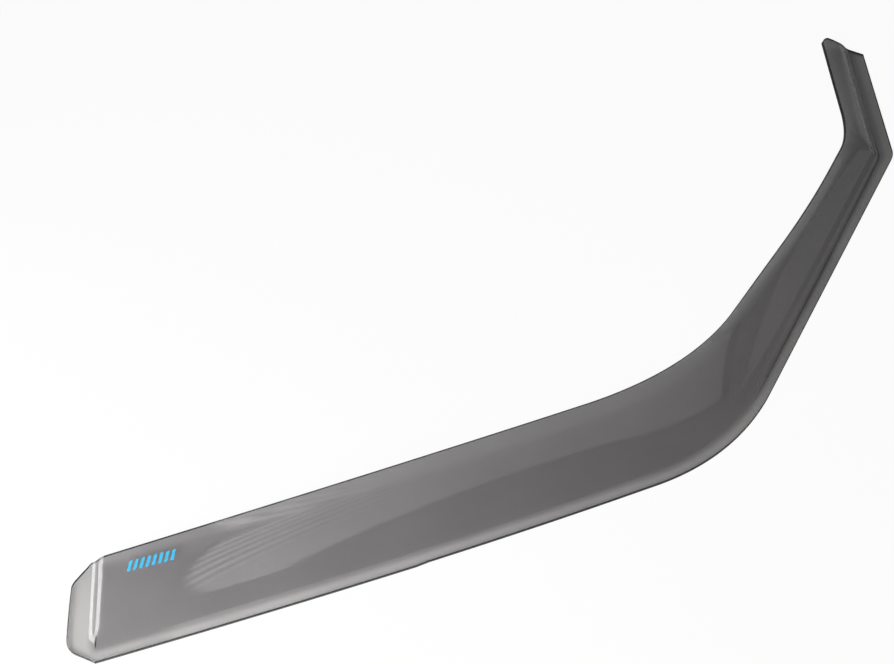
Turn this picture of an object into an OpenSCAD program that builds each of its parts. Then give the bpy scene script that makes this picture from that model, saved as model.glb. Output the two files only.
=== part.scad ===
// Window rain deflector for a left front door, moulded in one piece from smoke-tinted acrylic sheet.
// It lies on the flat underside of its fixing flange. +X points forward along the top of the window,
// +Y points down the window, and +Z points away from the vehicle.

/* [Sheet] */
// Thickness of the acrylic sheet
sheet_t = 3; // [2:0.1:4]

/* [Outer edge] */
// Top run of the outer edge, from the rear corner to the corner of the first bend
top_run = 530; // [420:5:700]
// Bow of the top run, at its middle, out of a straight line
top_bow = 4.7; // [0:0.1:8]
// Turn of the first bend, from the top of the window to the windscreen pillar
bend_1 = 40; // [32:0.5:46]
// Length that the first bend takes from each of its two runs
bend_1_set = 72; // [50:1:110]
// Pillar run of the outer edge, between the corners of the two bends
pillar_run = 397; // [320:5:500]
// Turn of the second bend, above the mirror
bend_2 = 29.6; // [20:0.1:36]
// Length that the second bend takes from each of its two runs
bend_2_set = 7; // [4:0.5:12]
// Nose run of the outer edge, from the corner of the second bend to the tip
nose_run = 150; // [120:1:220]
// Depth of the small step in the outer edge, in the middle of the top run
jog = 0.7; // [0.2:0.1:1.5]

/* [Flange] */
// Width of the flat flange along the top run and the pillar run
flange_w = 12.5; // [10:0.1:15]
// Width of the flat flange along the nose run
nose_flange_w = 15.6; // [12:0.1:18]
// Width of the flat flange at the rear end, along the top run
end_flange_w = 17; // [12:0.1:22]
// Lean of the rear end, forward toward the free edge
end_lean = 10.7; // [5:0.1:18]
// Distance from the rear corner to the foot of the rear end wall
end_foot = 16.5; // [14:0.5:30]
// Cut of the rear corner, measured along the top run
corner_cut = 21.5; // [18:0.1:30]
// Cut of the rear corner, measured along the rear end
corner_drop = 19; // [14:0.5:26]
// Cut of the other rear corner, measured along the rear end
chamfer_drop = 14; // [8:0.5:16]

/* [Step] */
// Distance that the step between flange and band covers across the section
step_run = 6.5; // [4.5:0.1:9]
// Height of the step above the flange along the top run
step_top = 7.6; // [5:0.1:9]
// Height of the step above the flange along the pillar run and the nose run
step_nose = 6.2; // [4:0.1:8]
// Distance that the rear end wall covers along the top run
end_run = 6.5; // [5:0.5:14]
// Height of the rear end wall above the flange
end_step = 5.2; // [4:0.1:8]
// Length that the root fillet of the rear end wall takes
end_root_set = 2.9; // [1:0.1:4]
// Length that the round shoulder of the rear end wall takes
end_shoulder_set = 3.4; // [2:0.1:8]

/* [Band] */
// Overall width at the rear end
rear_w = 79; // [66:0.5:90]
// Overall width along the top run
top_w = 79.5; // [68:0.5:92]
// Overall width where the pillar run leaves the first bend
bend_1_w = 64; // [56:0.1:76]
// Overall width in the lower half of the pillar run
pillar_w = 43.5; // [40:0.5:56]
// Overall width at the second bend and along the nose run
nose_w = 45; // [42:0.5:56]
// Height of the free edge above the flange at the middle of the top run
rise_top = 13.9; // [10:0.1:18]
// Height of the free edge above the flange at the first bend
rise_bend_1 = 15.6; // [10:0.1:18]
// Height of the free edge above the flange in the lower half of the pillar run
rise_pillar = 16.4; // [9:0.1:17]
// Height of the free edge above the flange at the second bend
rise_bend_2 = 15.5; // [9:0.1:17]
// Height of the free edge above the flange at the nose
rise_nose = 13.4; // [8:0.1:16]
// Crown of the band, halfway between shoulder and free edge
crown = 1.8; // [0:0.1:3]

/* [Nose] */
// Distance that the oblique cut of the nose runs ahead of the flange corner, at the free edge
nose_lead = 14; // [9:0.1:26]
// Distance that it runs ahead at the step, which it crosses square to the run
nose_step_lead = 8.5; // [2:0.1:9]
// Distance that the round of the nose takes back from the free edge
nose_back = 11; // [5:0.1:14]

/* [Hidden] */

// Colour of the tinted sheet, seen against white
smoke = [0.36, 0.36, 0.37, 0.85];

// Steps in each round along the run, by corner, and in each round across the section, by rail
run_steps = [0, 4, 7, 14, 16, 6, 12, 0];
section_steps = [0, 4, 6, 7, 3, 3, 0];

// Shares of the legs that each round across the section takes, before and after its rail
round_before = [0, 0.22, 0.55, 0.74, 0.14, 0.4, 0];
round_after = [0, 0.32, 0.2, 0.8, 0.4, 0.4, 0];

// Shares of the two halves of the top run that its bow takes
bow_rear = 0.9;
bow_front = 0.62;
// How deep the corner of a bow lies, for a bow of 1 that is rounded by those shares
bow_depth = 1.62;

// Place of the middle corner of the pillar run, and the length that its round takes
pillar_mid = 0.7;
pillar_set = 60;

// Lengths that the free edge's two bends take, before and after the corner
edge_1_set = [100, 76];
edge_2_set = [22, 35];

// Smallest length that an inner corner of the second bend keeps as a round
least_set = 3;

// Distance inside the free edge of the two rails that shape its ends
rim = 7;
lip = 3.2;

// How far each rail lies on the way from the shoulder to the free edge
band_share = [0, 0, 0, 0.48, 0.86, 0.94, 1];
// Number of the rail on the shoulder, the last one before the band
shoulder_r = 2;

// Powers that shape the cut of the rear corner and the round of the nose
corner_power = 1.5;
nose_power = 1.6;

// Strip of flange left at the foot of the end wall, where the chamfer runs out
foot_strip = 2;
// Least distance between the rear outline and the foot of the end wall
least_strip = 2.5;

// Plain geometry of directions and corners
function lerp(a, b, f) = a + (b - a) * f;
function heading(a) = [cos(a), sin(a)];
function inward(a) = [-sin(a), cos(a)];
function flat(p) = [p[0], p[1]];
function raised(p, z) = [p[0], p[1], z];

// Corner that lies v and w inside two lines that meet at c with headings a and b
function inner_corner(c, a, b, v, w) =
    let (m = inward(a), n = inward(b))
    c + [v * n[1] - w * m[1], w * m[0] - v * n[0]] / (m[0] * n[1] - m[1] * n[0]);

// Headings of the runs
rear_turn = atan(bow_depth * top_bow / (top_run / 2));
heading_1 = bend_1;
heading_2 = bend_1 + bend_2;

// Corners of the outer edge
corner_0 = [0, 0];
corner_mid = [top_run / 2, -bow_depth * top_bow];
corner_1 = [top_run, 0];
corner_pillar = corner_1 + pillar_run * pillar_mid * heading(heading_1);
corner_2 = corner_1 + pillar_run * heading(heading_1);
corner_3 = corner_2 + nose_run * heading(heading_2);

// Place on the rear part of the outer edge, s along it and w inside it
function rear_place(s, w) = corner_0 + s * heading(-rear_turn) + w * inward(-rear_turn);

// Foot of the rear end wall, w inside the outer edge
function foot_at(w) = end_foot + w * tan(end_lean);

// Width of the rear flange at w inside the outer edge, with the chamfer beside the free edge
function end_width(w) =
    min(end_flange_w, foot_strip + (end_flange_w - foot_strip) * (rear_w - w) / chamfer_drop);

// Extra cut of the rear corner at w inside the outer edge
function corner_at(w) = w < corner_drop ? corner_cut * pow(1 - w / corner_drop, corner_power) : 0;

// The rear outline, the foot of the end wall and its shoulder, w inside the outer edge
function outline_s(w) = foot_at(w) - end_width(w) + corner_at(w);
function foot_s(w) = max(foot_at(w), outline_s(w) + least_strip);
function shoulder_s(w) = foot_s(w) + end_run;

// Distance of the shoulder inside the outer edge
shoulder_w = flange_w + step_run;
nose_shoulder_w = nose_flange_w + step_run;

// How far the cut of the nose lies ahead of the flange corner, w inside the outer edge, and how
// far its round lies behind that cut beside the free edge
function nose_cut(w) =
    w < nose_flange_w ? nose_step_lead * w / nose_flange_w :
    w < nose_shoulder_w ? nose_step_lead :
    lerp(nose_step_lead, nose_lead, (w - nose_shoulder_w) / (nose_w - nose_shoulder_w));
function nose_round(w) =
    w > nose_w - rim ? nose_back * pow((w - nose_w + rim) / rim, nose_power) : 0;
function nose_place(w) =
    corner_3 + w * inward(heading_2) + (nose_cut(w) - nose_round(w)) * heading(heading_2);

// Corners of a rail that lies w inside the outer edge on the top and pillar runs and nw inside it on
// the nose run, with its heights z from the shoulder of the end wall to the nose
function side_rail(w, nw, z) = [
    raised(rear_place(outline_s(w), w), sheet_t),
    raised(rear_place(foot_s(w), w), sheet_t),
    raised(rear_place(shoulder_s(w), w), z[0]),
    raised(corner_mid + [0, w], z[1]),
    raised(inner_corner(corner_1, 0, heading_1, w, w), z[2]),
    raised(corner_pillar + w * inward(heading_1), z[3]),
    raised(inner_corner(corner_2, heading_1, heading_2, w, nw), z[4]),
    raised(nose_place(nw), z[5])
];

// Corners of the free edge
free_rail = [
    raised(rear_place(outline_s(rear_w), rear_w), sheet_t),
    raised(rear_place(foot_s(rear_w), rear_w), sheet_t),
    raised(rear_place(shoulder_s(rear_w), rear_w), sheet_t + end_step),
    raised(corner_mid + [0, top_w], sheet_t + 2 * rise_top - (end_step + rise_bend_1) / 2),
    raised(inner_corner(corner_1, 0, heading_1, top_w, bend_1_w), sheet_t + rise_bend_1),
    raised(corner_pillar + pillar_w * inward(heading_1), sheet_t + rise_pillar),
    raised(inner_corner(corner_2, heading_1, heading_2, nose_w, nose_w), sheet_t + rise_bend_2),
    raised(nose_place(nose_w), sheet_t + rise_nose)
];

// The outer edge, the root and the shoulder of the step
level = [for (k = [0 : 5]) sheet_t];
step_z = [for (h = [end_step, step_top, step_top, step_nose, step_nose, step_nose]) sheet_t + h];
outer_rail = side_rail(0, 0, level);
root_rail = side_rail(flange_w, nose_flange_w, level);
shoulder_rail = side_rail(shoulder_w, nose_shoulder_w, step_z);

// Rear outline, foot and shoulder of the end wall on a rail w inside the outer edge
function rear_corner(w, k, z) =
    k == 0 ? raised(rear_place(outline_s(w), w), sheet_t) :
    k == 1 ? raised(rear_place(foot_s(w), w), sheet_t) :
    raised(rear_place(shoulder_s(w), w), z);

// Share of the way from the shoulder to the free edge, at corner k, for a place d inside the edge
function share_at(k, d) = 1 - d / norm(flat(free_rail[k]) - flat(shoulder_rail[k]));

// Corner k of a rail on the band, at the share f of its width and lifted out of its plane
function band_corner(k, f, lift) =
    let (a = shoulder_rail[k], b = free_rail[k], z = lerp(a[2], b[2], f) + lift)
    k < 3 ? rear_corner(lerp(shoulder_w, rear_w, f), k, z) :
    k == 7 ? raised(nose_place(lerp(nose_shoulder_w, nose_w, f)), z) :
    raised(lerp(flat(a), flat(b), f), z);

// The crown line, the rim and the lip of the band
crown_at = [0, 0, crown / 2, 1.4 * crown, crown, crown / 2, crown / 2, crown / 2];
crown_rail = [for (k = [0 : 7]) band_corner(k, band_share[3], crown_at[k])];
rim_rail = [for (k = [0 : 7]) band_corner(k, share_at(k, k < 3 ? chamfer_drop : rim), 0)];
lip_rail = [for (k = [0 : 7]) band_corner(k, share_at(k, lip), 0)];
rails = [outer_rail, root_rail, shoulder_rail, crown_rail, rim_rail, lip_rail, free_rail];

// Length that a round takes at a bend, on a rail w inside the outer edge
function bend_set(set, turn, w) = max(least_set, set - w * tan(turn / 2));

// Length that the round of rail r at corner k takes, before the corner (0) or after it (1)
side_w = [0, flange_w, shoulder_w];
function rail_set(r, k, after) =
    let (w = side_w[min(r, shoulder_r)],
         side = k == 4 ? bend_set(bend_1_set, bend_1, w) : bend_set(bend_2_set, bend_2, w),
         edge = k == 4 ? edge_1_set[after] : edge_2_set[after])
    k == 1 ? end_root_set :
    k == 2 ? end_shoulder_set :
    k == 3 ? (after ? bow_front : bow_rear) * top_run / 2 :
    k == 5 ? pillar_set :
    r <= shoulder_r ? side : lerp(side, edge, band_share[r]);

// Share of a leg that a round of length a takes, when the round at its other end takes b
function leg_share(a, b, leg) = a / max(leg, 1.03 * (a + b));

// Shares that the rounds of rail r take of the legs before (0) or after (1) its corners
function shares(c, r, after) = [
    for (k = [0 : len(c) - 1])
        k == 0 || k == len(c) - 1 ? 0 :
        let (other = k + 2 * after - 1,
             far = other == 0 || other == len(c) - 1 ? 0 : rail_set(r, other, 1 - after))
        leg_share(rail_set(r, k, after), far, norm(c[other] - c[k]))
];

// Places along a round of n steps. The one that carries the small step of the outer edge has two
// close places in its middle.
jog_gap = 0.004;
function places(n, jogged) = jogged ?
    [
        for (i = [0 : n / 2 - 1]) i / n,
        n / 2 / n - jog_gap,
        n / 2 / n + jog_gap,
        for (i = [n / 2 + 1 : n]) i / n
    ] :
    [for (i = [0 : n]) i / n];

// Smooth path through corners c: each inner corner becomes a parabola that takes its shares of
// both legs. Each place on the path is given as a point and a direction.
function rounded(c, before, after, steps, jogged) = [
    [c[0], c[1] - c[0]],
    for (k = [1 : len(c) - 2])
        let (p = lerp(c[k], c[k - 1], before[k]), q = lerp(c[k], c[k + 1], after[k]))
        for (f = places(steps[k], jogged && k == 3))
            [
                pow(1 - f, 2) * p + 2 * f * (1 - f) * c[k] + f * f * q,
                (1 - f) * (c[k] - p) + f * (q - c[k])
            ],
    [c[len(c) - 1], c[len(c) - 1] - c[len(c) - 2]]
];

rail_paths = [
    for (r = [0 : len(rails) - 1])
        rounded(rails[r], shares(rails[r], r, 0), shares(rails[r], r, 1), run_steps, true)
];
stations = len(rail_paths[0]);

// The outer edge stands out by the small step, up to the middle of the top run
jog_station = 1 + (run_steps[1] + 1) + (run_steps[2] + 1) + run_steps[3] / 2 + 1;
function edge_out(i, p) = i < jog_station ? [0, -jog * p[0] / corner_mid[0], 0] : [0, 0, 0];

// Sections across the sheet: the rounded path over the rails, and the same blend of the
// rails' directions
function section(i) =
    let (edge = rail_paths[0][i][0],
         points = [edge + edge_out(i, edge), for (r = [1 : len(rails) - 1]) rail_paths[r][i][0]],
         ways = [for (path = rail_paths) path[i][1]],
         across = rounded(points, round_before, round_after, section_steps, false),
         along = rounded(ways, round_before, round_after, section_steps, false))
    [for (j = [0 : len(across) - 1]) [across[j][0], cross(along[j][0], across[j][1])]];

sections = [for (i = [0 : stations - 1]) section(i)];
rows = len(sections[0]);

// Outer face, and the inner face one sheet thickness below it, square to the surface
outer_face = [for (s = sections) for (e = s) e[0]];
inner_face = [for (s = sections) for (e = s) e[0] - sheet_t * e[1] / norm(e[1])];

both_faces = concat(outer_face, inner_face);

// Origin in the middle of the outline, on the underside of the flange
function half_way(axis) =
    (min([for (p = both_faces) p[axis]]) + max([for (p = both_faces) p[axis]])) / 2;
middle = [half_way(0), half_way(1), 0];

// Grid of the two faces and the four cut edges
count = stations * rows;
function at(i, j, below) = i * rows + j + (below ? count : 0);
function quad(a, b, c, d) = [[a, b, c], [a, c, d]];
face_quads = [
    for (i = [0 : stations - 2]) for (j = [0 : rows - 2])
        each concat(
            quad(at(i, j, false), at(i, j + 1, false), at(i + 1, j + 1, false), at(i + 1, j, false)),
            quad(at(i, j, true), at(i + 1, j, true), at(i + 1, j + 1, true), at(i, j + 1, true)))
];
long_edge_quads = [
    for (i = [0 : stations - 2])
        each concat(
            quad(at(i, 0, false), at(i + 1, 0, false), at(i + 1, 0, true), at(i, 0, true)),
            quad(at(i, rows - 1, true), at(i + 1, rows - 1, true),
                 at(i + 1, rows - 1, false), at(i, rows - 1, false)))
];
end_edge_quads = [
    for (j = [0 : rows - 2])
        each concat(
            quad(at(0, j, true), at(0, j + 1, true), at(0, j + 1, false), at(0, j, false)),
            quad(at(stations - 1, j, false), at(stations - 1, j + 1, false),
                 at(stations - 1, j + 1, true), at(stations - 1, j, true)))
];

module deflector() {
    color(smoke)
        translate(-middle)
            polyhedron(
                points = both_faces,
                faces = concat(face_quads, long_edge_quads, end_edge_quads),
                convexity = 8);
}

deflector();
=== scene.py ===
# A smoke-tinted window rain deflector, moulded in one piece from glossy acrylic sheet.
import math

import bpy
import numpy as np
from mathutils import Matrix, Vector


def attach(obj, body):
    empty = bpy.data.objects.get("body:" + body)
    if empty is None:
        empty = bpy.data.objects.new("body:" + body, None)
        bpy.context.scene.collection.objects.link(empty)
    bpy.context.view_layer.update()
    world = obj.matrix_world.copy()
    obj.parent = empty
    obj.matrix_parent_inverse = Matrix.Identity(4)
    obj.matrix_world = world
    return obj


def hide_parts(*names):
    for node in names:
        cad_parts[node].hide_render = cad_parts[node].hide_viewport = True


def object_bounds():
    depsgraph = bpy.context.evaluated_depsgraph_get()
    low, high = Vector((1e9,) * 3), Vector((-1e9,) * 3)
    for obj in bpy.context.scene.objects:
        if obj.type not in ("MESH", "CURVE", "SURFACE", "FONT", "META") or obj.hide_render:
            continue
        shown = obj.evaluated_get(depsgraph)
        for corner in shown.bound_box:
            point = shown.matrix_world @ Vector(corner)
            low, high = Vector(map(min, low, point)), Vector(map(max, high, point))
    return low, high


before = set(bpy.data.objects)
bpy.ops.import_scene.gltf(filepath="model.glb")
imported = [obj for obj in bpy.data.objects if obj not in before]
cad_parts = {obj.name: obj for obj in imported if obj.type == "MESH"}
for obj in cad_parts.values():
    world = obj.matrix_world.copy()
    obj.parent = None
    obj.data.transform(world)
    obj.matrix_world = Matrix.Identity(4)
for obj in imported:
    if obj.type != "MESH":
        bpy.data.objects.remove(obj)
cad_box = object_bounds()

MM = 0.001

# The sheet, in millimetres and degrees: runs and bends of the outer edge, flange, ends, step,
# widths of flange and band together, heights above the flange, crown and the cut of the nose
SHEET = 3.0
TOP_RUN, TOP_BOW = 530.0, 4.7
BEND_1, BEND_1_SET = 40.0, 72.0
PILLAR_RUN = 397.0
BEND_2, BEND_2_SET = 29.6, 7.0
NOSE_RUN = 150.0
JOG = 0.7
FLANGE, NOSE_FLANGE, END_FLANGE = 12.5, 15.6, 17.0
END_LEAN, END_FOOT = 10.7, 16.5
CORNER_CUT, CORNER_DROP, CHAMFER_DROP = 21.5, 19.0, 14.0
CORNER_POWER = 1.5
STEP_RUN, STEP_TOP, STEP_NOSE = 6.5, 7.6, 6.2
END_RUN, END_STEP, END_ROOT_SET, END_SHOULDER_SET = 6.5, 5.2, 2.9, 3.4
REAR_W, TOP_W, BEND_1_W, PILLAR_W, NOSE_W = 79.0, 79.5, 64.0, 43.5, 45.0
RISE_TOP, RISE_BEND_1, RISE_PILLAR, RISE_BEND_2, RISE_NOSE = 13.9, 15.6, 16.4, 15.5, 13.4
CROWN = 1.8
CROWN_LIFT = [0, 0, 0.5, 1.4, 1, 0.5, 0.5, 0.5]
NOSE_LEAD, NOSE_STEP_LEAD, NOSE_BACK = 14.0, 8.5, 11.0
NOSE_POWER = 1.6

# Shares of the legs beside each rail that its round takes across the sheet
ROUND_BEFORE = [0, 0.22, 0.55, 0.74, 0.14, 0.4, 0]
ROUND_AFTER = [0, 0.32, 0.2, 0.8, 0.4, 0.4, 0]

# Rounds along the run: the bow, the pillar run, and the free edge at both bends
BOW_REAR, BOW_FRONT, BOW_DEPTH = 0.9, 0.62, 1.62
PILLAR_MID, PILLAR_SET = 0.7, 60.0
EDGE_1_SET, EDGE_2_SET = [100.0, 76.0], [22.0, 35.0]
LEAST_SET = 3.0
LEG_SLACK = 1.03
JOG_REACH = 1e-6

# Strips beside the free edge and the end wall's foot, and each rail's place across the band
RIM, LIP = 7.0, 3.2
BAND_SHARE = [0, 0, 0, 0.48, 0.86, 0.94, 1]
FOOT_STRIP, LEAST_STRIP = 2.0, 2.5

# Corners of each rail from the rear end to the nose, and the first rail of the crowned band
REAR, END_ROOT, END_SHOULDER, BOW, TURN_1, PILLAR, TURN_2, NOSE = CORNERS = range(8)
CROWN_RAIL = 3

# How finely the sheet is drawn: places in each round and on each straight stretch
RUN_STEPS = [0, 7, 11, 40, 56, 24, 30, 0]
RUN_LEGS = [2, 2, 4, 22, 50, 24, 36]
SECTION_STEPS = [0, 8, 10, 22, 6, 4, 0]
SECTION_LEGS = [12, 4, 8, 6, 2, 5]
EDGE_R = 0.45
EDGE_SHARE = 0.6
EDGE_STEPS = 4

# Where the tint changes, all of it painted shade: the band's darker painted shade by the distance
# from the outer edge as a share of the distance to the root, the painted shade line along the root
# by x, and the painted shade lines along the border
BAND_PAINTED_SHADE_FROM, BAND_PAINTED_SHADE_FULL = 0.42, 1.08
CREASE_FROM, CREASE_FULL = 100.0, 180.0
CREASE_X, CREASE_AT = [100.0, 250.0, 380.0, 400.0], [0.84, 0.9, 1.1, 1.34]
CREASE_WIDE = [0.07, 0.055, 0.06, 0.1]
OUTER_PAINTED_SHADE, REAR_PAINTED_SHADE = 0.25, 0.45


def heading(a):
    return np.array([math.cos(math.radians(a)), math.sin(math.radians(a))])


def inward(a):
    return np.array([-math.sin(math.radians(a)), math.cos(math.radians(a))])


def lerp(a, b, f):
    return a + (b - a) * f


def raised(p, z):
    return np.array([p[0], p[1], z])


def inner_corner(c, a, b, v, w):
    m, n = inward(a), inward(b)
    return c + np.array([v * n[1] - w * m[1], w * m[0] - v * n[0]]) / (m[0] * n[1] - m[1] * n[0])


REAR_TURN = math.degrees(math.atan(BOW_DEPTH * TOP_BOW / (TOP_RUN / 2)))
HEADING_2 = BEND_1 + BEND_2
C_MID = np.array([TOP_RUN / 2, -BOW_DEPTH * TOP_BOW])
C_1 = np.array([TOP_RUN, 0.0])
C_PILLAR = C_1 + PILLAR_RUN * PILLAR_MID * heading(BEND_1)
C_2 = C_1 + PILLAR_RUN * heading(BEND_1)
C_3 = C_2 + NOSE_RUN * heading(HEADING_2)


def rear_place(s, w):
    return s * heading(-REAR_TURN) + w * inward(-REAR_TURN)


def outline_s(w):
    width = min(END_FLANGE, FOOT_STRIP + (END_FLANGE - FOOT_STRIP) * (REAR_W - w) / CHAMFER_DROP)
    cut = CORNER_CUT * (1 - w / CORNER_DROP) ** CORNER_POWER if w < CORNER_DROP else 0
    return END_FOOT + w * math.tan(math.radians(END_LEAN)) - width + cut


def foot_s(w):
    return max(END_FOOT + w * math.tan(math.radians(END_LEAN)), outline_s(w) + LEAST_STRIP)


def nose_place(w):
    shoulder = NOSE_FLANGE + STEP_RUN
    if w < NOSE_FLANGE:
        ahead = NOSE_STEP_LEAD * w / NOSE_FLANGE
    else:
        band = max(0.0, w - shoulder) / (NOSE_W - shoulder)
        ahead = lerp(NOSE_STEP_LEAD, NOSE_LEAD, band)
    if w > NOSE_W - RIM:
        ahead -= NOSE_BACK * ((w - NOSE_W + RIM) / RIM) ** NOSE_POWER
    return C_3 + w * inward(HEADING_2) + ahead * heading(HEADING_2)


def rear_corner(w, k, z):
    if k == REAR:
        return raised(rear_place(outline_s(w), w), SHEET)
    if k == END_ROOT:
        return raised(rear_place(foot_s(w), w), SHEET)
    return raised(rear_place(foot_s(w) + END_RUN, w), z)


def side_rail(w, nw, z):
    return np.array([
        rear_corner(w, REAR, 0),
        rear_corner(w, END_ROOT, 0),
        rear_corner(w, END_SHOULDER, z[0]),
        raised(C_MID + [0, w], z[1]),
        raised(inner_corner(C_1, 0, BEND_1, w, w), z[2]),
        raised(C_PILLAR + w * inward(BEND_1), z[3]),
        raised(inner_corner(C_2, BEND_1, HEADING_2, w, nw), z[4]),
        raised(nose_place(nw), z[5]),
    ])


def free_rail():
    return np.array([
        rear_corner(REAR_W, REAR, 0),
        rear_corner(REAR_W, END_ROOT, 0),
        rear_corner(REAR_W, END_SHOULDER, SHEET + END_STEP),
        raised(C_MID + [0, TOP_W], SHEET + 2 * RISE_TOP - (END_STEP + RISE_BEND_1) / 2),
        raised(inner_corner(C_1, 0, BEND_1, TOP_W, BEND_1_W), SHEET + RISE_BEND_1),
        raised(C_PILLAR + PILLAR_W * inward(BEND_1), SHEET + RISE_PILLAR),
        raised(inner_corner(C_2, BEND_1, HEADING_2, NOSE_W, NOSE_W), SHEET + RISE_BEND_2),
        raised(nose_place(NOSE_W), SHEET + RISE_NOSE),
    ])


def all_rails():
    level = [SHEET] * 6
    step = [SHEET + h for h in (END_STEP, STEP_TOP, STEP_TOP, STEP_NOSE, STEP_NOSE, STEP_NOSE)]
    outer = side_rail(0, 0, level)
    root = side_rail(FLANGE, NOSE_FLANGE, level)
    shoulder = side_rail(FLANGE + STEP_RUN, NOSE_FLANGE + STEP_RUN, step)
    free = free_rail()

    def band(k, f, lift):
        z = lerp(shoulder[k][2], free[k][2], f) + lift
        if k < BOW:
            return rear_corner(lerp(FLANGE + STEP_RUN, REAR_W, f), k, z)
        if k == NOSE:
            return raised(nose_place(lerp(NOSE_FLANGE + STEP_RUN, NOSE_W, f)), z)
        return raised(lerp(shoulder[k][:2], free[k][:2], f), z)

    def share(k, d):
        return 1 - d / np.linalg.norm(free[k][:2] - shoulder[k][:2])

    across = BAND_SHARE[CROWN_RAIL]
    crown = np.array([band(k, across, CROWN * CROWN_LIFT[k]) for k in CORNERS])
    rim = np.array([band(k, share(k, CHAMFER_DROP if k < BOW else RIM), 0) for k in CORNERS])
    lip = np.array([band(k, share(k, LIP), 0) for k in CORNERS])
    return [outer, root, shoulder, crown, rim, lip, free]


def round_set(r, k, after):
    """Length that the round of rail r at corner k takes, before the corner (0) or after it (1)."""
    if k == END_ROOT:
        return END_ROOT_SET
    if k == END_SHOULDER:
        return END_SHOULDER_SET
    if k == BOW:
        return (BOW_FRONT if after else BOW_REAR) * TOP_RUN / 2
    if k == PILLAR:
        return PILLAR_SET
    w = [0, FLANGE, FLANGE + STEP_RUN][min(r, 2)]
    reach, turn = (BEND_1_SET, BEND_1) if k == TURN_1 else (BEND_2_SET, BEND_2)
    side = max(LEAST_SET, reach - w * math.tan(math.radians(turn / 2)))
    edge = (EDGE_1_SET if k == TURN_1 else EDGE_2_SET)[after]
    return side if r < CROWN_RAIL else lerp(side, edge, BAND_SHARE[r])


def round_shares(c, r, after):
    out = []
    for k in CORNERS:
        if k in (REAR, NOSE):
            out.append(0)
            continue
        other = k + 2 * after - 1
        own = round_set(r, k, after)
        far = 0 if other in (REAR, NOSE) else round_set(r, other, 1 - after)
        out.append(own / max(np.linalg.norm(c[other] - c[k]), LEG_SLACK * (own + far)))
    return out


def rounded(c, before, after, steps, legs):
    """Smooth path through corners c: each inner corner becomes a parabola, and legs are divided."""
    points, ways = [c[0]], [c[1] - c[0]]
    start = c[0]
    for k in range(1, len(c) - 1):
        p, q = lerp(c[k], c[k - 1], before[k]), lerp(c[k], c[k + 1], after[k])
        for i in range(1, legs[k - 1] + 1):
            points.append(lerp(start, p, i / (legs[k - 1] + 1)))
            ways.append(p - start)
        for i in range(steps[k] + 1):
            f = i / steps[k]
            points.append((1 - f) ** 2 * p + 2 * f * (1 - f) * c[k] + f * f * q)
            ways.append((1 - f) * (c[k] - p) + f * (q - c[k]))
        start = q
    for i in range(1, legs[-1] + 1):
        points.append(lerp(start, c[-1], i / (legs[-1] + 1)))
        ways.append(c[-1] - start)
    points.append(c[-1])
    ways.append(c[-1] - c[-2])
    return np.array(points), np.array(ways)


def sheet_faces():
    """Outer face and its unit normals, as grids of rows across by stations along, in millimetres.

    The origin is the middle of the outline, as it is in the frame."""
    paths = [
        rounded(c, round_shares(c, r, 0), round_shares(c, r, 1), RUN_STEPS, RUN_LEGS)
        for r, c in enumerate(all_rails())
    ]
    points = np.array([p[0] for p in paths])
    ways = np.array([p[1] for p in paths])
    x = points[0, :, 0]
    # The rear half of the outer edge drifts out and steps back in at the middle of the top run
    points[0, :, 1] -= np.where(x < C_MID[0] - JOG_REACH, JOG * x / C_MID[0], 0)
    across, slope = rounded(points, ROUND_BEFORE, ROUND_AFTER, SECTION_STEPS, SECTION_LEGS)
    along, _ = rounded(ways, ROUND_BEFORE, ROUND_AFTER, SECTION_STEPS, SECTION_LEGS)
    normal = np.cross(along, slope)
    normal /= np.linalg.norm(normal, axis=-1, keepdims=True)
    both = np.concatenate([across, across - SHEET * normal]).reshape(-1, 3)
    middle = (both.min(0) + both.max(0)) / 2
    middle[2] = 0
    return across - middle, normal


# Mesh of the sheet
def border(rows, stations):
    """The grid's outline as (row, station), counter-clockwise seen from outside."""
    loop = [(0, i) for i in range(stations)]
    loop += [(j, stations - 1) for j in range(1, rows)]
    loop += [(rows - 1, i) for i in range(stations - 2, -1, -1)]
    loop += [(j, 0) for j in range(rows - 2, 0, -1)]
    return np.array(loop)


def edge_radius(face, loop):
    """Radius of the eased edge at each place of the outline, smaller where the grid is narrow."""
    rows, stations = face.shape[:2]
    out = []
    for j, i in loop:
        gaps = []
        if j in (0, rows - 1):
            gaps.append(np.linalg.norm(face[j, i] - face[1 if j == 0 else rows - 2, i]))
        if i in (0, stations - 1):
            gaps.append(np.linalg.norm(face[j, i] - face[j, 1 if i == 0 else stations - 2]))
        out.append(min([EDGE_R] + [EDGE_SHARE * g for g in gaps]))
    return np.array(out)


def eased_rings(outer, normal, loop):
    """Rings of points round the eased cut edge, from the outer face to the inner one."""
    lj, li = loop[:, 0], loop[:, 1]
    rim_at, n = outer[lj, li], normal[lj, li]
    ahead = np.roll(rim_at, -1, 0) - rim_at
    ahead /= np.linalg.norm(ahead, axis=1, keepdims=True)
    way = ahead + np.roll(ahead, 1, 0)
    out = np.cross(way, n)
    out /= np.linalg.norm(out, axis=1, keepdims=True)
    r = edge_radius(outer, loop)[:, None]
    ring = []
    for k in range(EDGE_STEPS + 1):
        a = math.radians(90 * k / EDGE_STEPS)
        ring.append(rim_at - r * out - r * n + r * (n * math.cos(a) + out * math.sin(a)))
    for k in range(EDGE_STEPS + 1):
        a = math.radians(90 * k / EDGE_STEPS)
        base = rim_at - SHEET * n - r * out + r * n
        ring.append(base + r * (out * math.cos(a) - n * math.sin(a)))
    return ring


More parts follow.
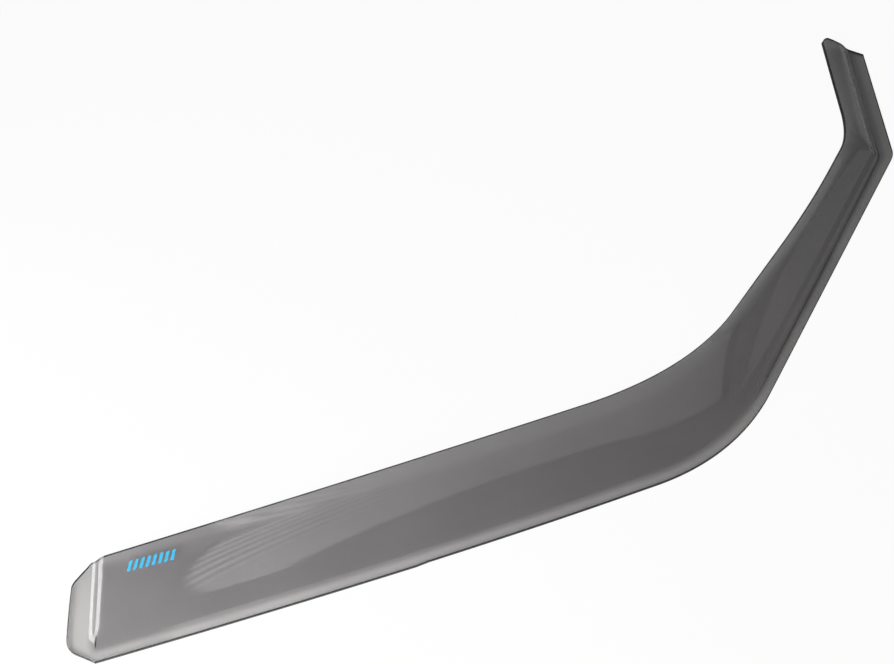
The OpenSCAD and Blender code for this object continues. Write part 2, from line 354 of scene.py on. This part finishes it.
def painted_shade_shares(outer, side):
    """Painted shade shares: the band's darker tone, line along the root and border lines."""
    stations = outer.shape[1]
    to_root = side / side[SECTION_LEGS[0] + 1]
    # Painted shade of the raised band, from partway across the flange, faded in along the end wall
    band_painted_shade = np.clip((to_root - BAND_PAINTED_SHADE_FROM) / (BAND_PAINTED_SHADE_FULL - BAND_PAINTED_SHADE_FROM), 0, 1)
    end_wall = np.clip((np.arange(stations) - RUN_LEGS[0] - 1) / RUN_STEPS[1], 0, 1)
    band_painted_shade = band_painted_shade * band_painted_shade * (3 - 2 * band_painted_shade) * end_wall
    fore = np.clip((outer[..., 0] - CREASE_FROM) / (CREASE_FULL - CREASE_FROM), 0, 1)
    crease_at = np.interp(outer[0, :, 0], CREASE_X, CREASE_AT)
    crease_wide = np.interp(outer[0, :, 0], CREASE_X, CREASE_WIDE)
    # A painted shade line along the root's inner bend, towards the front
    root_painted_shade = fore * np.exp(-(((to_root - crease_at) / crease_wide) ** 2))
    # Painted shade lines along the border rows, darkest along the free edge towards the front
    border_painted_shade = np.zeros(outer.shape[:2])
    border_painted_shade[0], border_painted_shade[:, 0], border_painted_shade[:, -1] = OUTER_PAINTED_SHADE, OUTER_PAINTED_SHADE, 1
    border_painted_shade[-1] = border_painted_shade[-2] = lerp(REAR_PAINTED_SHADE, 1, fore[-1])
    border_painted_shade[-3] = fore[-3]
    return {"band_painted_shade": band_painted_shade, "root_painted_shade": root_painted_shade, "border": border_painted_shade}


def sheet_mesh(name):
    outer, normal = sheet_faces()
    inner = outer - SHEET * normal
    rows, stations = outer.shape[:2]
    loop = border(rows, stations)
    lj, li = loop[:, 0], loop[:, 1]
    ring = eased_rings(outer, normal, loop)
    outer[lj, li], inner[lj, li] = ring[0], ring[-1]
    ring = ring[1:-1]

    count = rows * stations
    index = np.arange(count).reshape(rows, stations)
    a, b = index[:-1, :-1].ravel(), index[:-1, 1:].ravel()
    c, d = index[1:, 1:].ravel(), index[1:, :-1].ravel()
    faces = [np.stack([a, b, c, d], 1), np.stack([a, d, c, b], 1) + count]
    rings = [index[lj, li]]
    rings += [2 * count + k * len(loop) + np.arange(len(loop)) for k in range(len(ring))]
    rings.append(index[lj, li] + count)
    edge_faces = []
    for one, two in zip(rings[:-1], rings[1:]):
        edge_faces.append(np.stack([one, two, np.roll(two, -1), np.roll(one, -1)], 1))
    points = np.concatenate([outer.reshape(-1, 3), inner.reshape(-1, 3)] + ring) * MM
    low, high = (np.array(v) for v in cad_box)
    points = np.clip(points, low, high)
    faces = np.concatenate(faces + edge_faces)
    mesh = bpy.data.meshes.new(name)
    mesh.from_pydata(points.tolist(), [], faces.tolist())
    mesh.polygons.foreach_set("use_smooth", np.ones(len(faces), bool))
    on_edge = np.zeros(len(faces), np.int32)
    on_edge[2 * len(a):] = 1
    mesh.polygons.foreach_set("material_index", on_edge)

    # Distances along and across the sheet, in metres, as UVs, and the shares of painted shade
    middle = rows // 2
    run = np.concatenate([[0], np.cumsum(np.linalg.norm(np.diff(outer[middle], axis=0), axis=1))])
    side = np.concatenate(
        [np.zeros((1, stations)), np.cumsum(np.linalg.norm(np.diff(outer, axis=0), axis=2), 0)]
    )
    along = np.broadcast_to(run, (rows, stations))

    def spread(grid):
        return np.concatenate([grid.ravel(), grid.ravel()] + [grid[lj, li]] * len(ring))

    place = np.stack([spread(along), spread(side)], 1) * MM
    corners = np.empty(len(mesh.loops), np.int32)
    mesh.loops.foreach_get("vertex_index", corners)
    layer = mesh.uv_layers.new(name="run")
    layer.data.foreach_set("uv", place[corners].astype(np.float32).ravel())
    for label, grid in painted_shade_shares(outer, side).items():
        shares = mesh.attributes.new(label, "FLOAT", "POINT")
        shares.data.foreach_set("value", spread(grid).astype(np.float32))
    mesh.update()
    return mesh


# Node helpers
def material(name):
    mat = bpy.data.materials.new(name)
    mat.use_nodes = True
    mat.node_tree.nodes.clear()
    return mat, mat.node_tree


def node(tree, kind, values=None, **settings):
    made = tree.nodes.new(kind)
    for key, value in settings.items():
        setattr(made, key, value)
    for key, value in (values or {}).items():
        if isinstance(value, bpy.types.NodeSocket):
            tree.links.new(value, made.inputs[key])
        else:
            made.inputs[key].default_value = value
    return made


def math_node(tree, operation, a, b=0.0):
    return node(tree, "ShaderNodeMath", {0: a, 1: b}, operation=operation).outputs[0]


def remap(tree, value, low, high, to_low, to_high):
    made = node(
        tree,
        "ShaderNodeMapRange",
        {"Value": value, "From Min": low, "From Max": high, "To Min": to_low, "To Max": to_high},
    )
    return made.outputs["Result"]


def noise(tree, vector, scale, detail=2.0, rough=0.5):
    made = node(
        tree,
        "ShaderNodeTexNoise",
        {"Vector": vector, "Scale": scale, "Detail": detail, "Roughness": rough},
    )
    return made.outputs["Fac"]


def attribute(tree, name):
    return node(tree, "ShaderNodeAttribute", attribute_name=name).outputs["Fac"]


def colour_mix(tree, factor, one, two):
    mixed = {"Factor": factor, "A": one, "B": two}
    return node(tree, "ShaderNodeMix", mixed, data_type="RGBA").outputs["Result"]


def shade_mix(tree, factor, one, two):
    return node(tree, "ShaderNodeMixShader", {0: factor, 1: one, 2: two}).outputs[0]


def principled(tree, values):
    return node(tree, "ShaderNodeBsdfPrincipled", values).outputs[0]


def to_surface(tree, shader):
    node(tree, "ShaderNodeOutputMaterial", {"Surface": shader})


def lets_lamps_through(tree, shader, tint):
    """Rays from lamps pass straight through with the sheet's tint, so the ground below is lit."""
    path = node(tree, "ShaderNodeLightPath")
    lamp = math_node(
        tree, "MAXIMUM", path.outputs["Is Shadow Ray"], path.outputs["Is Diffuse Ray"]
    )
    clear = node(tree, "ShaderNodeBsdfTransparent", {"Color": tint}).outputs[0]
    return shade_mix(tree, lamp, shader, clear)


# Materials of the part. A ray takes the tint at each face that it passes. Scales are per metre, and
# heights are in metres.
# Painted shade: the band's tint is darker than the flange's, for the shaded ground under it
BAND_TINT_WITH_PAINTED_SHADE = (0.614, 0.604, 0.609, 1)
FLANGE_TINT = (0.775, 0.77, 0.766, 1)
# Painted shade: how dark the line along the root turns the tint
CREASE_PAINTED_SHADE = 0.58
# Painted shade: how dark the lines along the border turn the tint
BORDER_PAINTED_SHADE = 0.12
ACRYLIC_IOR = 1.49
CLOUD_SCALE, CLOUD_SHADE = 14.0, (0.985, 1.015)
LINE_STRETCH, LINE_SCALE, LINE_HEIGHT = (1.2, 160.0, 1.0), 2.0, 3e-7
WAVE_SCALE, WAVE_HEIGHT = 9.0, 1e-4
SMUDGE_SCALE, SMUDGE_ROUGH = 60.0, (0.025, 0.06)
CUT_SHADES = (0.012, 0.012, 0.013, 1), (0.03, 0.029, 0.03, 1)
CUT_GRAIN, CUT_ROUGH, CUT_CLEAR = 900.0, (0.18, 0.34), (0.4, 0.4, 0.4, 1)
INK_SHADES = (0.03, 0.36, 0.62, 1), (0.06, 0.47, 0.76, 1)
INK_GRAIN, INK_ROUGH = 1400.0, (0.3, 0.5)


def smoked_acrylic():
    mat, tree = material("smoked_acrylic")
    run = node(tree, "ShaderNodeUVMap", uv_map="run").outputs[0]
    place = node(tree, "ShaderNodeTexCoord").outputs["Object"]
    # Tint: the flange's turning to the band's painted shade, with painted shade lines at root and
    # border
    tint = colour_mix(tree, attribute(tree, "band_painted_shade"), FLANGE_TINT, BAND_TINT_WITH_PAINTED_SHADE)
    cloud = remap(tree, noise(tree, place, CLOUD_SCALE, 2.0, 0.5), 0.3, 0.7, *CLOUD_SHADE)
    root_painted_shade = remap(tree, attribute(tree, "root_painted_shade"), 0.0, 1.0, 1.0, CREASE_PAINTED_SHADE)
    border_painted_shade = remap(tree, attribute(tree, "border"), 0.0, 1.0, 1.0, BORDER_PAINTED_SHADE)
    tone_and_painted_shade = math_node(tree, "MULTIPLY", cloud, math_node(tree, "MULTIPLY", root_painted_shade, border_painted_shade))
    tint_with_painted_shade = node(tree, "ShaderNodeVectorMath", {0: tint, 3: tone_and_painted_shade}, operation="SCALE").outputs[0]
    # Drawn lines along the run, and the slow waves of a sheet formed over a mould
    stretched = node(tree, "ShaderNodeMapping", {"Vector": run, "Scale": LINE_STRETCH})
    drawn = noise(tree, stretched.outputs[0], LINE_SCALE, 2.0, 0.55)
    waves = noise(tree, place, WAVE_SCALE, 1.0, 0.4)
    height = math_node(
        tree,
        "ADD",
        math_node(tree, "MULTIPLY", drawn, LINE_HEIGHT),
        math_node(tree, "MULTIPLY", waves, WAVE_HEIGHT),
    )
    bump = node(tree, "ShaderNodeBump", {"Height": height, "Distance": 1.0, "Strength": 1.0})
    smudges = noise(tree, place, SMUDGE_SCALE, 3.0, 0.6)
    sheet = principled(tree, {
        "Base Color": tint_with_painted_shade,
        "Roughness": remap(tree, smudges, 0.3, 0.8, *SMUDGE_ROUGH),
        "IOR": ACRYLIC_IOR,
        "Transmission Weight": 1.0,
        "Normal": bump.outputs[0],
    })
    # Lamp rays pass with this tint too, so the painted shade also dims the ground under the band
    to_surface(tree, lets_lamps_through(tree, sheet, tint_with_painted_shade))
    return mat


def cut_edge():
    mat, tree = material("acrylic_cut_edge")
    place = node(tree, "ShaderNodeTexCoord").outputs["Object"]
    grain = noise(tree, place, CUT_GRAIN, 3.0, 0.6)
    bump = node(tree, "ShaderNodeBump", {"Height": grain, "Distance": 0.00002, "Strength": 0.6})
    edge = principled(tree, {
        "Base Color": colour_mix(tree, grain, *CUT_SHADES),
        "Roughness": remap(tree, grain, 0.2, 0.8, *CUT_ROUGH),
        "IOR": ACRYLIC_IOR,
        "Transmission Weight": 0.25,
        "Normal": bump.outputs[0],
    })
    to_surface(tree, lets_lamps_through(tree, edge, CUT_CLEAR))
    return mat


deflector = bpy.data.objects.new("smoked_sheet", sheet_mesh("smoked_sheet"))
bpy.context.scene.collection.objects.link(deflector)
deflector.data.materials.append(smoked_acrylic())
deflector.data.materials.append(cut_edge())
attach(deflector, "root")
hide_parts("deflector")


# A row of slanted strokes printed on the band near the rear end, in metres
MARK_START, MARK_WAY = (-0.3895, -0.1492), (0.9968, -0.0800)
MARK_COUNT, MARK_PITCH = 8, 0.0046
MARK_HIGH, MARK_WIDE, MARK_SLANT = 0.0084, 0.0024, 0.0030
MARK_LEGS = 4
MARK_LIFT, ABOVE_ALL = 0.00004, 0.1


def blue_ink():
    mat, tree = material("blue_ink")
    place = node(tree, "ShaderNodeTexCoord").outputs["Object"]
    grain = noise(tree, place, INK_GRAIN, 3.0, 0.6)
    bump = node(tree, "ShaderNodeBump", {"Height": grain, "Distance": 0.00001, "Strength": 0.5})
    printed = principled(tree, {
        "Base Color": colour_mix(tree, grain, *INK_SHADES),
        "Roughness": remap(tree, grain, 0.2, 0.8, *INK_ROUGH),
        "Normal": bump.outputs[0],
    })
    to_surface(tree, printed)
    return mat


def stroke_mark(sheet):
    bpy.context.view_layer.update()
    way = Vector(MARK_WAY).normalized()
    up = Vector((-way.y, way.x))
    points, faces = [], []
    for k in range(MARK_COUNT):
        foot = Vector(MARK_START) + k * MARK_PITCH * way
        for i in range(MARK_LEGS + 1):
            f = i / MARK_LEGS
            for side in (0, MARK_WIDE):
                at = foot + (side + f * MARK_SLANT) * way + f * MARK_HIGH * up
                above = Vector((at.x, at.y, ABOVE_ALL))
                _, hit, normal, _ = sheet.ray_cast(above, Vector((0, 0, -1)))
                points.append(hit + MARK_LIFT * normal)
        first = len(points) - 2 * (MARK_LEGS + 1)
        for i in range(MARK_LEGS):
            a = first + 2 * i
            faces.append((a, a + 1, a + 3, a + 2))
    mesh = bpy.data.meshes.new("stroke_mark")
    mesh.from_pydata(points, [], faces)
    mesh.materials.append(blue_ink())
    mark = bpy.data.objects.new("stroke_mark", mesh)
    bpy.context.scene.collection.objects.link(mark)
    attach(mark, "root")


stroke_mark(deflector)


# Ground, backdrop and lamps, in metres. The camera sees the floor at SEEN_WHITE of full white. Rays
# from glossy and clear faces see the world at SKY_THROUGH of it, and FILL is the world's light.
FLOOR_HALF, FLOOR_DROP = 6.0, 0.0006
PAPER_SCALE, PAPER_TONE = 30.0, (0.79, 0.81)
SEEN_WHITE = 0.95
SKY_THROUGH = 0.1
FILL = 0.012

# lamp_top: shares of its level by the share of its length from the front, how wide its long sides
# fade, the streaks across it, and how much sooner its rear end stops away from END_MIDDLE
TOP_PROFILE = [
    (0.06, 0),
    (0.068, 0.22),
    (0.2, 0.3),
    (0.4, 0.36),
    (0.6, 0.42),
    (0.8, 0.64),
    (0.97, 1),
    (0.985, 0),
]
TOP_SOFT = 0.03
STREAK_PITCH = 2 * math.pi / 0.045
STREAK_RUN = 0.45
STREAK_MIDDLE, STREAK_HALF, STREAK_FADE = -0.08, 0.09, 0.08
END_MIDDLE, END_BULGE = -0.05, 1.5


def one_face(name, w, h):
    mesh = bpy.data.meshes.new(name)
    mesh.from_pydata([(-w, -h, 0), (w, -h, 0), (w, h, 0), (-w, h, 0)], [], [(0, 1, 2, 3)])
    made = bpy.data.objects.new(name, mesh)
    bpy.context.scene.collection.objects.link(made)
    return made


def ground():
    floor = one_face("ground", FLOOR_HALF, FLOOR_HALF)
    floor.location = (0, 0, -FLOOR_DROP)
    mat, tree = material("ground_paper")
    place = node(tree, "ShaderNodeTexCoord").outputs["Object"]
    tone = remap(tree, noise(tree, place, PAPER_SCALE, 3.0, 0.5), 0.2, 0.8, *PAPER_TONE)
    colour = node(tree, "ShaderNodeCombineColor", {0: tone, 1: tone, 2: tone}).outputs[0]
    paper = node(tree, "ShaderNodeBsdfDiffuse", {"Color": colour}).outputs[0]
    white = node(tree, "ShaderNodeEmission", {"Color": (1, 1, 1, 1), "Strength": 1.0}).outputs[0]
    path = node(tree, "ShaderNodeLightPath").outputs
    share = math_node(tree, "MULTIPLY", path["Is Camera Ray"], SEEN_WHITE)
    to_surface(tree, shade_mix(tree, share, paper, white))
    floor.data.materials.append(mat)


def top_shape(tree, w, h):
    """Factors that shape lamp_top's strength. Its +X end is the front, and +Y faces the flange."""
    place = node(tree, "ShaderNodeTexCoord").outputs["Object"]
    part = node(tree, "ShaderNodeSeparateXYZ", {0: place}).outputs
    along = remap(tree, part["X"], w, -w, 0.0, 1.0)
    off_end = math_node(tree, "SUBTRACT", part["Y"], END_MIDDLE)
    bulge = math_node(tree, "MULTIPLY", math_node(tree, "POWER", off_end, 2.0), END_BULGE)
    rounded_end = math_node(tree, "MULTIPLY", along, math_node(tree, "ADD", 1.0, bulge))
    ramp = node(tree, "ShaderNodeValToRGB", {"Fac": rounded_end})
    stops = ramp.color_ramp.elements
    while len(stops) < len(TOP_PROFILE):
        stops.new(0.5)
    for stop, (at, share) in zip(stops, TOP_PROFILE):
        stop.position = at
        stop.color = (share, share, share, 1)
    off_centre = math_node(tree, "ABSOLUTE", part["Y"])
    sides = remap(tree, off_centre, h - TOP_SOFT, h, 1.0, 0.0)
    wave = math_node(tree, "SINE", math_node(tree, "MULTIPLY", part["Y"], STREAK_PITCH))
    off_streaks = math_node(
        tree, "ABSOLUTE", math_node(tree, "SUBTRACT", part["Y"], STREAK_MIDDLE)
    )
    across = remap(tree, off_streaks, STREAK_HALF, STREAK_HALF + STREAK_FADE, 1.0, 0.0)
    to_rear = remap(tree, along, 1.0, 1.0 - STREAK_RUN, 1.0, 0.0)
    depth = math_node(tree, "MULTIPLY", across, to_rear)
    streaks = math_node(tree, "ADD", 1.0, math_node(tree, "MULTIPLY", wave, depth))
    return ramp.outputs["Color"], sides, streaks


def panel(name, middle, target, width, height, level, shape=None):
    """A soft lamp: a one-sided glowing panel that the camera doesn't see."""
    w, h = width / 2, height / 2
    lamp = one_face(name, w, h)
    aim = Vector(target) - Vector(middle)
    turn = aim.to_track_quat("Z", "Y").to_matrix().to_4x4()
    lamp.matrix_world = Matrix.Translation(middle) @ turn
    mat, tree = material(name)
    facing = math_node(
        tree, "SUBTRACT", 1.0, node(tree, "ShaderNodeNewGeometry").outputs["Backfacing"]
    )
    strength = math_node(tree, "MULTIPLY", facing, level)
    for factor in shape(tree, w, h) if shape else ():
        strength = math_node(tree, "MULTIPLY", strength, factor)
    glow = node(tree, "ShaderNodeEmission", {"Color": (1, 1, 1, 1), "Strength": strength})
    to_surface(tree, glow.outputs[0])
    lamp.data.materials.append(mat)
    lamp.visible_camera = False
    return lamp


def backdrop():
    world = bpy.data.worlds.new("studio")
    bpy.context.scene.world = world
    world.use_nodes = True
    tree = world.node_tree
    tree.nodes.clear()
    dim = node(tree, "ShaderNodeBackground", {"Color": (1, 1, 1, 1), "Strength": FILL}).outputs[0]
    white = node(tree, "ShaderNodeBackground", {"Color": (1, 1, 1, 1), "Strength": 1.0}).outputs[0]
    path = node(tree, "ShaderNodeLightPath").outputs
    through = math_node(tree, "MAXIMUM", path["Is Glossy Ray"], path["Is Transmission Ray"])
    share = math_node(tree, "MULTIPLY", through, SKY_THROUGH)
    seen = math_node(tree, "MAXIMUM", path["Is Camera Ray"], share)
    node(tree, "ShaderNodeOutputWorld", {"Surface": shade_mix(tree, seen, dim, white)})


ground()
backdrop()
panel("lamp_rear", (-0.72, -0.04, 0.165), (-0.42, -0.17, 0.0), 0.55, 0.30, 3.0)
glint = panel("lamp_glint", (-0.712, -0.0435, 0.1606), (-0.42, -0.17, 0.0), 0.42, 0.24, 7.0)
glint.visible_diffuse = False
glint.visible_transmission = False
glint.visible_shadow = False
key = panel("lamp_key", (-0.65, -0.60, 0.45), (-0.40, -0.17, 0.0), 0.5, 0.5, 11.5)
key.visible_glossy = False
key.visible_transmission = False
panel("lamp_top", (0.2, 0.24, 1.06), (0.2, 0.2401, 0.0), 1.36, 0.44, 1.5, top_shape)
panel("lamp_side", (1.3, 0.0, 0.64), (0.3, 0.0, 0.1), 0.6, 0.8, 0.31)
panel("lamp_nose", (1.7, 0.8, 0.2), (0.39, 0.12, 0.0), 0.9, 0.34, 0.34)
panel("lamp_front", (1.08, 0.82, 0.85), (0.36, 0.08, 0.0), 0.55, 0.5, 0.25)

# Camera, at the photograph's viewing angle
CAMERA_AT = (-0.3106, -0.6283, 0.8322)
CAMERA_WAY = Vector((0.2086, 0.5832, -0.7851))
LENS = 49.755
camera = bpy.data.cameras.new("camera")
camera.sensor_width = 36.0
camera.lens = LENS
camera.clip_end = 50.0
seen_from = bpy.data.objects.new("camera", camera)
seen_from.location = CAMERA_AT
seen_from.rotation_euler = CAMERA_WAY.to_track_quat("-Z", "Y").to_euler()
bpy.context.scene.collection.objects.link(seen_from)
bpy.context.scene.camera = seen_from
bpy.context.scene.view_settings.view_transform = "Standard"

bpy.context.view_layer.update()
